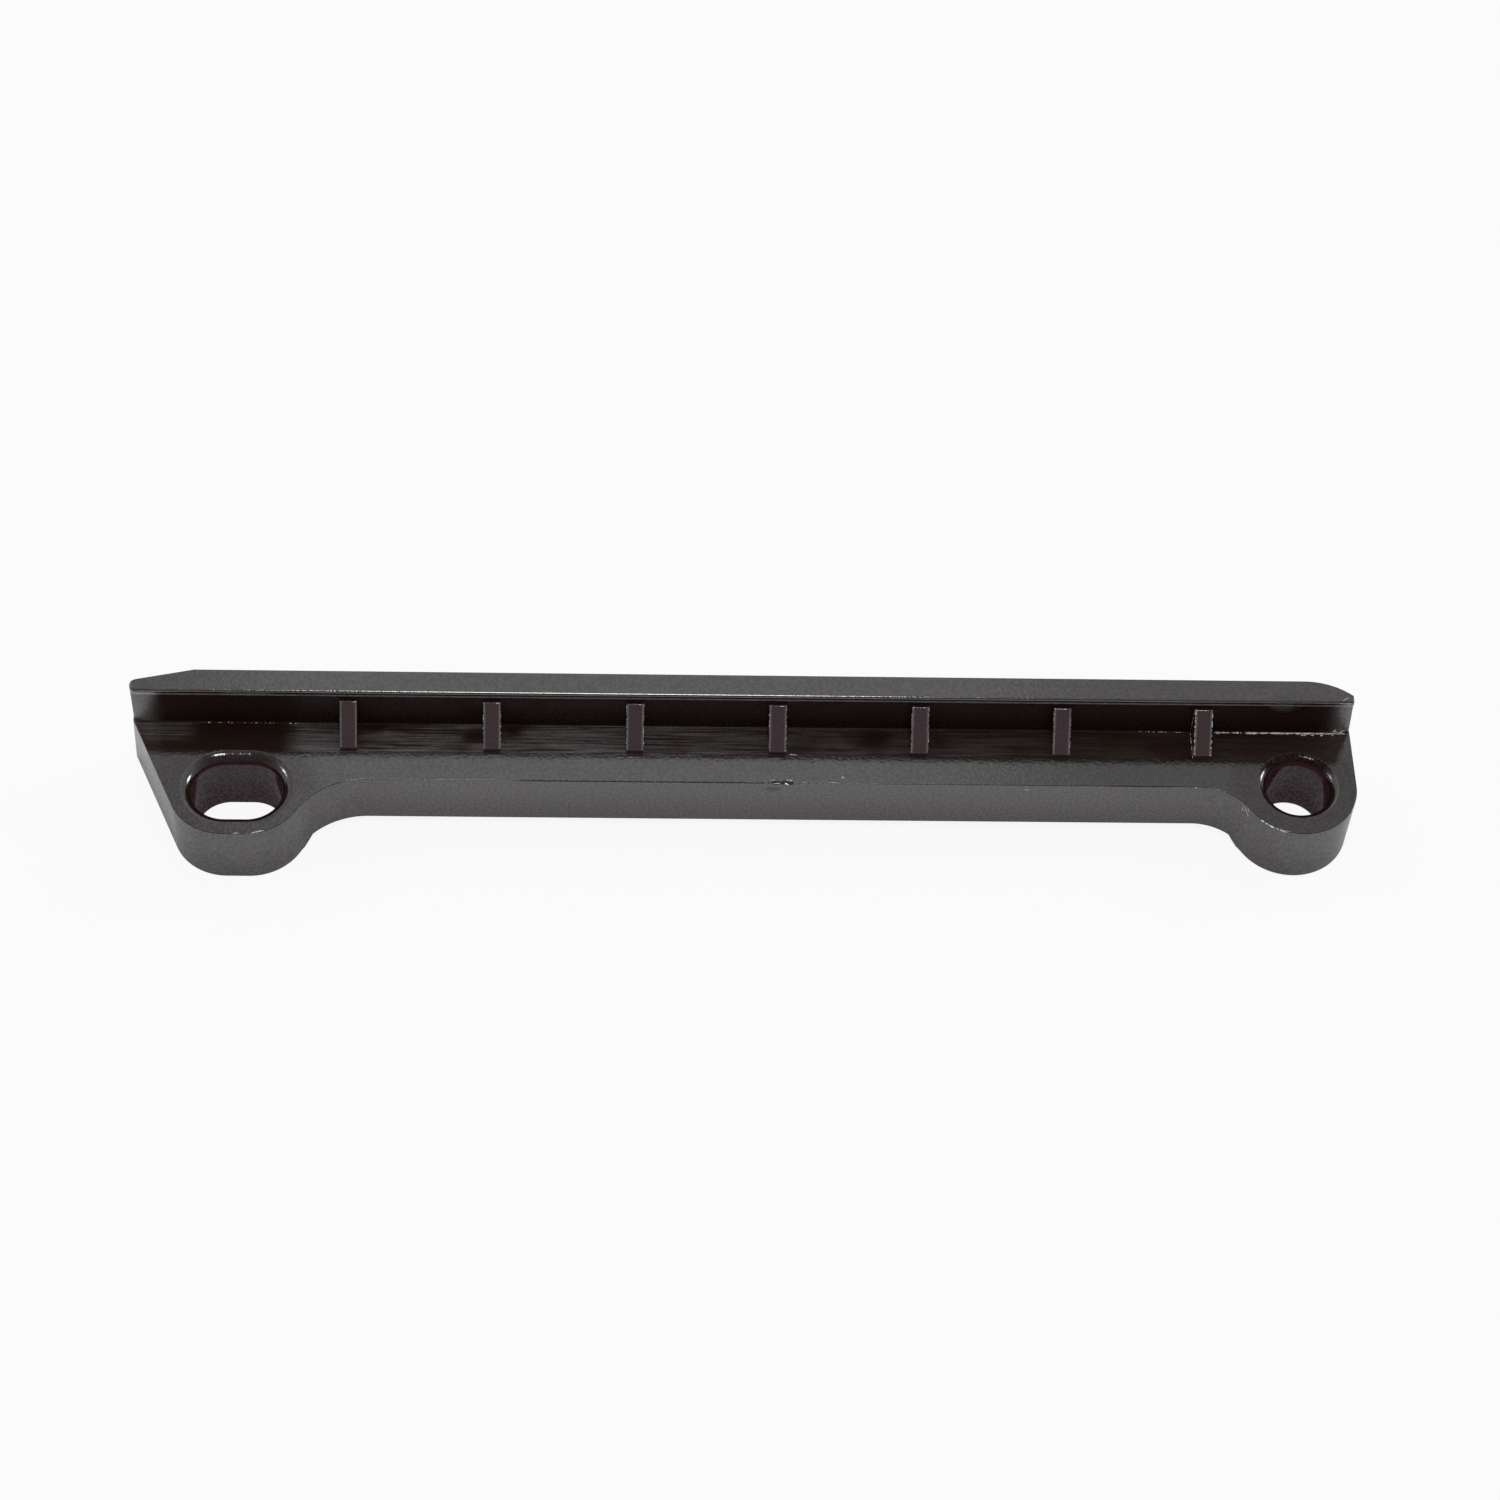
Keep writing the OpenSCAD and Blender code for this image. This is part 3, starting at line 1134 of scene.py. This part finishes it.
@dataclass
class Wall:
    """Upright wall with its rim and lead-ins."""

    lines: RailLines
    rim_height: float = 1.0
    front_round: float = 0.35
    back_round: float = 0.08
    tip_length: float = 2.4
    corner_length: float = 3.4
    corner_depth: float = 0.5
    rim_corner: float = 0.5
    bite: float = 0.6
    set_in: float = 0.008

    def plan(self, level: float, front: float, tip_length: float, corner_length: float) -> tuple[Plan, Plan]:
        """Outline of the wall seen from above.

        Args:
            level: Height of the outline, which sets where the leaning bore end lies.
            front: Line of the front face.
            tip_length: Length of the front face's rounding at the slot end.
            corner_length: Length of its rounding at the bore end.

        Returns:
            The points of the front and those of the back, counter-clockwise from the slot end.
        """
        lines = self.lines
        end = lines.wall_end(level)
        depth = min(corner_length, self.corner_depth)
        left = Vector((lines.wall_left + tip_length, lines.tip.y))
        right = Vector((end - corner_length, front + depth))
        fore = arc(left, tip_length, 180, 270, 12, lines.tip.y - front)
        fore += arc(right, corner_length, 270, 360, 14, depth)
        tip = arc(lines.tip, lines.tip_radius, bearing(lines.tip, lines.taper_end), 180, 8)
        return fore, [*lines.curved_lead_in(end), lines.taper_start, *tip[:-1]]

    def ring(self, level: float, front: float, ends: tuple[float, float], depth: float = 0.0) -> Ring:
        """Outline of the wall at a level.

        Args:
            level: Height of the outline.
            front: Line of the front face.
            ends: Lengths of the front face's roundings at the slot end and at the bore end.
            depth: How far the front is drawn in; the back is drawn in less, as its edge is sharper.

        Returns:
            The ring, whose back stands in a hair from the foot's back so that the two join cleanly.
        """
        fore, back = self.plan(level, front, *ends)
        whole, count = fore + back, len(fore)
        behind = self.set_in + depth * self.back_round / self.front_round
        return level_ring(inset(whole, depth)[:count] + inset(whole, behind)[count:], level)

    def build(self) -> bpy.types.Object:
        """Build the wall.

        Returns:
            The wall in one solid that bites into the foot.
        """
        lines = self.lines
        lip = lines.rail_top - self.rim_height
        lower = (lines.wall_front, (self.tip_length, self.corner_length))
        rim = (lines.rim_front, (lines.tip_radius, self.rim_corner))
        rings = [self.ring(lines.foot_top - self.bite, *lower), self.ring(lip, *lower), self.ring(lip, *rim)]
        rings += [self.ring(lines.rail_top - z, *rim, d) for d, z in rounding(self.front_round, 8)]
        return stack("wall", rings)


@dataclass
class Ribs:
    """Row of gusset ribs between the wall and the foot."""

    lines: RailLines
    count: int = 7
    first: float = -128.35
    pitch: float = 19.25
    width: float = 2.3
    reach: float = 4.6
    toe: float = 0.8
    top_depth: float = 0.5
    drop: float = 1.75
    edge_round: float = 0.16
    bite: float = 0.5

    def middle(self, number: int) -> float:
        """Place of a rib along the rail, counted from the slot end."""
        return self.first + number * self.pitch

    def side_view(self) -> Plan:
        """Outline of a rib seen along the rail: its foot, toe, slope and top."""
        wall, foot, top = self.lines.wall_front, self.lines.foot_top, self.lines.rail_top - self.drop
        return [
            Vector((wall + self.bite, foot - self.bite)),
            Vector((wall - self.reach, foot - self.bite)),
            Vector((wall - self.reach, foot + self.toe)),
            Vector((wall - self.top_depth, top)),
            Vector((wall + self.bite, top)),
        ]

    def build(self) -> bpy.types.Object:
        """Build all ribs.

        Returns:
            The ribs with rounded edges, in one mesh.
        """
        bm = bmesh.new()
        view = self.side_view()
        for number in range(self.count):
            ends = [self.middle(number) + side.value * self.width / 2 for side in Side]
            add_stack(bm, [[Vector((x, p.x, p.y)) for p in view] for x in ends])
        bmesh.ops.recalc_face_normals(bm, faces=bm.faces)
        front = self.lines.wall_front
        edges = [e for e in bm.edges if all(v.co.y < front for v in e.verts)]
        bmesh.ops.bevel(bm, geom=edges, offset=self.edge_round, segments=3, profile=0.5, affect="EDGES")
        return new_piece("ribs", bm)


@dataclass
class Nick:
    """Knock in the foot's front top edge."""

    foot: Foot
    middle: float = -69.9
    length: float = 3.1
    depth: float = 0.9
    drop: float = 1.0
    lean: float = -6.0
    outside: float = 0.1
    lumps: tuple[tuple[float, float], ...] = ((-0.24, 0.5), (0.2, 0.6))
    rough: Span = (0.86, 1.06)
    seed: int = 5

    def gouges(self) -> list[bpy.types.Object]:
        """Make the cutters of the knock.

        Returns:
            Two rough lumps side by side across the edge.
        """
        lines, rng = self.foot.lines, random.Random(self.seed)
        turn = Matrix.Rotation(math.radians(self.lean), 4, "Z")
        cutters = []
        for shift, share in self.lumps:
            size = Matrix.Diagonal((self.length / 2 * share, self.depth * share, self.drop * share, 1))
            spot = (self.middle + shift * self.length, lines.foot_front - self.outside, lines.foot_top)
            bm = bmesh.new()
            rough_lump(bm, Vector(spot), turn @ size, rng, self.rough, detail=3)
            cutters.append(new_piece("gouge", bm))
        return cutters


@dataclass
class Moulding:
    """The whole guide as it came out of its mould."""

    foot: Foot
    wall: Wall
    ribs: Ribs
    nick: Nick
    crease: float = 32.0
    flat: float = 0.2
    weld: float = 0.002

    def build(self) -> bpy.types.Object:
        """Knock the foot's edge and join the wall and ribs to it.

        Returns:
            The moulding.
        """
        body = self.foot.build()
        for lump in self.nick.gouges():
            combine(body, lump, Combine.REMOVE)
        for part in (self.wall.build(), self.ribs.build()):
            combine(body, part, Combine.JOIN)
        body.name = "moulding"
        self.clean(body.data)
        return body

    def clean(self, mesh: bpy.types.Mesh) -> None:
        """Weld the joined mesh, merge its flat faces and mark its creases.

        Args:
            mesh: The mesh that is changed.
        """
        bm = bmesh.new()
        bm.from_mesh(mesh)
        bmesh.ops.remove_doubles(bm, verts=bm.verts, dist=self.weld * MM)
        bmesh.ops.dissolve_degenerate(bm, edges=bm.edges, dist=self.weld * MM)
        bmesh.ops.dissolve_limit(bm, angle_limit=math.radians(self.flat), verts=bm.verts, edges=bm.edges)
        bmesh.ops.recalc_face_normals(bm, faces=bm.faces)
        for face in bm.faces:
            face.smooth = True
        for edge in bm.edges:
            edge.smooth = edge.is_manifold and edge.calc_face_angle() < math.radians(self.crease)
        open_edges = sum(not edge.is_manifold for edge in bm.edges)
        log.info("moulding has %d faces and %d open edges", len(bm.faces), open_edges)
        bm.to_mesh(mesh)
        bm.free()

    def dress(self, body: bpy.types.Object, finish: NylonFinish) -> None:
        """Give the moulding its finish and even normals.

        Args:
            body: The moulding.
            finish: The finish of black nylon.
        """
        body.data.materials.clear()
        body.data.materials.append(finish.make())
        even = body.modifiers.new("even_normals", "WEIGHTED_NORMAL")
        even.weight = 100
        even.keep_sharp = True


# Flash and torn edges


@dataclass(frozen=True)
class Seam:
    """A line that crumbs of flash sit along, and how many and how coarse they are."""

    start: Point
    end: Point
    crumbs: int
    size: float
    scatter: float = 0.03


@dataclass(frozen=True)
class Sliver:
    """A torn shred that lies between two places."""

    start: Point
    end: Point
    width: float


@dataclass
class Flash:
    """Crumbs and shreds of pale flash on the moulding's seams, the nylon pushed up beside its knocks, and two
    painted glints.
    """

    foot: Foot
    ribs: Ribs
    seed: int = 11
    junction: float = 0.06
    fine_crumb: float = 0.06
    coarse_crumb: float = 0.10
    rough: Span = (0.7, 1.15)
    crumb_sizes: Span = (0.5, 1.5)
    crumb_lengths: Span = (0.5, 1.6)

    def junction_seams(self) -> list[Seam]:
        """Seams along the corner between the wall and the foot.

        Returns:
            The seams, from the slot end to the bore end.
        """
        lines = self.foot.lines
        y, z = lines.wall_front - self.junction, lines.foot_top + self.junction / 2
        bore_rib = self.ribs.middle(self.ribs.count - 1) + self.ribs.width / 2
        return [
            Seam((-148.6, y, z), (-135.1, y, z), 30, 0.08),
            Seam((-22.3, y, z), (-15.4, y, z), 22, 0.08),
            Seam((bore_rib + 1.0, y, z), (7.3, y, z), 110, 0.18),
            Seam((bore_rib + 1.0, y, z), (7.3, y, z), 36, 0.30),
            Seam((0.5, y - 0.15, z), (6.2, y - 0.4, z), 14, 0.16, 0.22),
            Seam((5.4, y, z + 0.9), (7.2, y, z + 0.4), 11, 0.17, 0.25),
        ]

    def rib_seams(self) -> list[Seam]:
        """Seams round the ribs of the bore half, coarsest on the last one.

        Returns:
            The seams.
        """
        lines, ribs = self.foot.lines, self.ribs
        top, toe = lines.rail_top - ribs.drop, lines.foot_top + ribs.toe
        high, low = lines.wall_front - ribs.top_depth, lines.wall_front - ribs.reach
        seams = []
        for number in range(1, ribs.count):
            size = self.coarse_crumb if number == ribs.count - 1 else self.fine_crumb
            edges = [ribs.middle(number) + side.value * ribs.width / 2 for side in Side]
            seams += [Seam((x, high, top), (x, low, toe), 36, size) for x in edges]
        seams.append(Seam((edges[0], high, top), (edges[1], high, top), 12, size))
        left, wall, plate = edges[0], lines.wall_front - self.junction, lines.foot_top + 0.02
        seams.append(Seam((left, wall, top), (left, wall, plate), 30, size))
        seams.append(Seam((left, wall, plate), (left, low, plate), 30, size))
        return seams

    def slivers(self) -> list[Sliver]:
        """Shreds and specks, each where the picture shows it, and two glints on the slot boss's edge that are
        painted highlights.

        Returns:
            The shreds.
        """
        lines = self.foot.lines
        top, rail, front = lines.foot_top, lines.rail_top, lines.foot_front
        return [
            Sliver((-71.8, 0.16, top), (-70.8, 0.0, top), 0.22),
            Sliver((-69.6, 0.12, top), (-68.4, -0.02, top), 0.20),
            Sliver((-71.3, front, top - 0.2), (-70.2, front, top - 0.1), 0.10),
            Sliver((-67.25, -0.2, top), (-66.95, -0.2, top), 0.22),
            Sliver((-61.95, 0.58, top), (-61.6, 0.58, top), 0.26),
            Sliver((-64.0, -0.2, top), (-62.3, -0.3, top), 0.07),
            Sliver((-69.0, 4.4, top), (-67.7, 4.2, top), 0.16),
            Sliver((-37.3, front, 9.05), (-36.4, front, 9.0), 0.12),
            Sliver((-14.2, front, top - 0.15), (-13.85, front, top - 0.15), 0.22),
            Sliver((5.0, lines.rim_front, rail - 0.25), (7.2, lines.rim_front, rail - 0.25), 0.08),
            self.scratch((-8.0, -7.3), (9.95, 8.6), 0.16),
            self.scratch((-7.6, -6.9), (9.8, 8.2), 0.19),
            self.scratch((-7.2, -6.75), (9.95, 8.9), 0.19),
            self.scratch((-7.9, -7.5), (9.2, 8.3), 0.14),
            # Painted highlights: two pale glints on the slot boss's front top edge.
            Sliver((-143.2, -9.40, top - 0.03), (-142.0, -9.40, top - 0.03), 0.17),
            Sliver((-140.8, -9.38, top - 0.03), (-138.6, -8.86, top - 0.03), 0.20),
        ]

    def scratch(self, along: tuple[float, float], level: tuple[float, float], width: float) -> Sliver:
        """Scratch down the inside curve beside the bore boss.

        Args:
            along: Places of its two ends along the rail.
            level: Their heights.
            width: Its width.

        Returns:
            The scratch.
        """
        ends = [(x, self.foot.bore_curve(x), z) for x, z in zip(along, level)]
        return Sliver(ends[0], ends[1], width)

    def shred(self, bm: bmesh.types.BMesh, rng: random.Random, sliver: Sliver) -> None:
        """Add one rough shred.

        Args:
            bm: The mesh that takes it.
            rng: Source of its roughness.
            sliver: Where it lies and how wide it is.
        """
        start, end = Vector(sliver.start), Vector(sliver.end)
        along = end - start
        size = Matrix.Diagonal((along.length / 2, sliver.width / 2, sliver.width / 3, 1))
        turn = along.to_track_quat("X", "Z").to_matrix().to_4x4()
        rough_lump(bm, (start + end) / 2, turn @ size, rng, self.rough, detail=1)

    def crumbs(self, rng: random.Random, seam: Seam) -> list[Sliver]:
        """Crumbs of one seam.

        Args:
            rng: Source of their places and sizes.
            seam: The seam.

        Returns:
            The crumbs as short slivers.
        """
        start, end = Vector(seam.start), Vector(seam.end)
        ahead = (end - start).normalized()
        made = []
        for _ in range(seam.crumbs):
            spot = start.lerp(end, rng.random())
            spot += Vector([rng.uniform(-1, 1) * seam.scatter for _ in range(3)])
            size = seam.size * rng.uniform(*self.crumb_sizes)
            reach = ahead * size * rng.uniform(*self.crumb_lengths)
            made.append(Sliver(tuple(spot - reach), tuple(spot + reach), size))
        return made

    def build(self, finish: FlashFinish) -> bpy.types.Object:
        """Build all crumbs and shreds.

        Args:
            finish: The finish of torn nylon.

        Returns:
            The flash, in one mesh.
        """
        bm, rng = bmesh.new(), random.Random(self.seed)
        pieces = self.slivers()
        for seam in self.junction_seams() + self.rib_seams():
            pieces += self.crumbs(rng, seam)
        for piece in pieces:
            self.shred(bm, rng, piece)
        return new_piece("flash", bm, finish)


@dataclass
class BossBurr:
    """Ragged lip that stands out of the bore boss's top edge in short stretches."""

    foot: Foot
    stretches: tuple[tuple[float, float, float], ...] = (
        (-135.0, -131.0, 0.24),
        (-130.0, -126.5, 0.20),
        (-126.0, -118.5, 0.26),
        (-117.5, -115.0, 0.20),
        (-114.0, -106.5, 0.22),
    )
    root: float = 0.2
    thickness: float = 0.09
    sunk: float = 0.02
    step: float = 0.8
    end_share: float = 0.04
    ragged: Span = (0.55, 1.0)
    seed: int = 3

    def rings(self, start: float, end: float, reach: float, rng: random.Random) -> list[Ring]:
        """Cross-sections of one stretch.

        Args:
            start: Angle of its first end round the boss.
            end: Angle of its other end.
            reach: How far it stands out at most.
            rng: Source of its raggedness.

        Returns:
            The three-cornered rings.
        """
        boss, top = self.foot.lines.bore_boss, self.foot.lines.foot_top - self.sunk
        count = math.ceil((end - start) / self.step)
        made = []
        for i in range(count + 1):
            share = self.end_share + (1 - 2 * self.end_share) * i / count
            swell = math.sqrt(math.sin(math.pi * share)) * rng.uniform(*self.ragged)
            out = heading(start + (end - start) * i / count)
            inner, outer = out * (boss - self.root), out * (boss + reach * swell)
            made.append([
                Vector((*inner, top)),
                Vector((*outer, top - self.thickness / 2)),
                Vector((*inner, top - self.thickness)),
            ])
        return made

    def build(self, finish: FlashFinish) -> bpy.types.Object:
        """Build the lip.

        Args:
            finish: The finish of torn nylon.

        Returns:
            The lip's stretches, in one mesh.
        """
        bm, rng = bmesh.new(), random.Random(self.seed)
        for stretch in self.stretches:
            add_stack(bm, self.rings(*stretch, rng))
        return new_piece("boss_burr", bm, finish)


# The studio


@dataclass(frozen=True)
class Softbox:
    """A soft lamp: where it hangs and what it faces, in metres, its size and how bright its face is."""

    name: str
    place: Point
    target: Point
    width: float
    height: float
    brightness: float
    tint: Colour = WHITE

    def hang(self) -> bpy.types.Object:
        """Make the lamp.

        Returns:
            The lamp's object.
        """
        lamp = bpy.data.lights.new(self.name, "AREA")
        lamp.shape = "RECTANGLE"
        lamp.color = self.tint
        lamp.size, lamp.size_y = self.width, self.height
        lamp.energy = self.brightness * math.pi * self.width * self.height
        hung = bpy.data.objects.new(self.name, lamp)
        hung.location = self.place
        aim = Vector(self.target) - Vector(self.place)
        hung.rotation_euler = aim.to_track_quat("-Z", "Y").to_euler()
        bpy.context.scene.collection.objects.link(hung)
        return hung


@dataclass
class Studio:
    """Pale floor, soft light and the camera of the picture, placed in metres."""

    floor_size: float = 4.0
    floor_cells: int = 8
    front_sky: float = 0.22
    back_sky: float = 0.46
    sky_turn: Span = (-0.3, 0.3)
    back_tint: Colour = COOL_WHITE
    lamps: tuple[Softbox, ...] = (
        Softbox("back_softbox", (-0.08, 0.62, 0.86), (-0.08, 0.0, 0.0), 0.32, 0.7, 0.25, COOL_WHITE),
        Softbox("top_strip", (-0.088, -0.2, 0.98), (-0.088, 0.0, 0.0), 0.2, 0.3, 13.5),
        Softbox("left_softbox", (-0.88, 0.25, 0.72), (-0.075, 0.0, 0.0), 0.2, 0.2, 6.0),
        Softbox("right_softbox", (0.85, 0.38, 0.60), (-0.075, 0.0, 0.0), 0.28, 0.28, 9.0),
    )
    camera_place: Point = (-0.09595, -0.29300, 0.41874)
    camera_pitch: float = 53.823
    camera_yaw: float = 4.163
    camera_roll: float = 3.931
    lens: float = 89.76
    sensor: float = 36.0

    def lay_floor(self) -> bpy.types.Object:
        """Lay the floor.

        Returns:
            The floor.
        """
        bm, cells = bmesh.new(), self.floor_cells
        bmesh.ops.create_grid(bm, x_segments=cells, y_segments=cells, size=self.floor_size / MM / 2)
        floor = new_piece("studio_floor", bm, FloorFinish())
        return floor

    def light(self) -> None:
        """Set the sky and hang the lamps."""
        world = bpy.data.worlds.new("studio")
        world.use_nodes = True
        bpy.context.scene.world = world
        shader = Shader(world.node_tree)
        outward = shader.node("ShaderNodeTexCoord", output="Generated")
        backward = shader.node("ShaderNodeSeparateXYZ", None, {0: outward}, "Y").rise(*self.sky_turn)
        strength = self.front_sky + backward * (self.back_sky - self.front_sky)
        colour = shader.blend(backward, WHITE, self.back_tint)
        sky = shader.node("ShaderNodeBackground", None, {"Color": colour, "Strength": strength})
        shader.node("ShaderNodeOutputWorld", None, {"Surface": sky})
        for lamp in self.lamps:
            lamp.hang()
            log.info("hung %s", lamp.name)

    def set_camera(self) -> None:
        """Stand the camera where the picture was taken from."""
        pitch, yaw, roll = (math.radians(a) for a in (self.camera_pitch, self.camera_yaw, self.camera_roll))
        turn = Matrix.Rotation(-yaw, 4, "Z") @ Matrix.Rotation(math.pi / 2 - pitch, 4, "X")
        camera = bpy.data.cameras.new("camera")
        camera.lens, camera.sensor_width = self.lens, self.sensor
        stand = bpy.data.objects.new("camera", camera)
        place = Matrix.Translation(self.camera_place)
        stand.matrix_world = place @ turn @ Matrix.Rotation(roll, 4, "Z")
        bpy.context.scene.collection.objects.link(stand)
        bpy.context.scene.camera = stand


def main() -> None:
    """Build and dress the guide, then set the studio round it."""
    logging.basicConfig(level=logging.INFO, format="%(message)s")
    lines = RailLines.of_node(NODE)
    foot, ribs, torn = Foot(lines), Ribs(lines), FlashFinish()
    moulding = Moulding(foot, Wall(lines), ribs, Nick(foot))
    body = moulding.build()
    moulding.dress(body, NylonFinish(foot, moulding.wall, ribs))
    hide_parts(NODE)
    for piece in (body, Flash(foot, ribs).build(torn), BossBurr(foot).build(torn)):
        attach(piece, BODY)
        log.info("built %s", piece.name)
    studio = Studio()
    studio.lay_floor()
    studio.light()
    studio.set_camera()
    bpy.context.scene.view_settings.view_transform = "Standard"


if __name__ == "__main__":
    main()
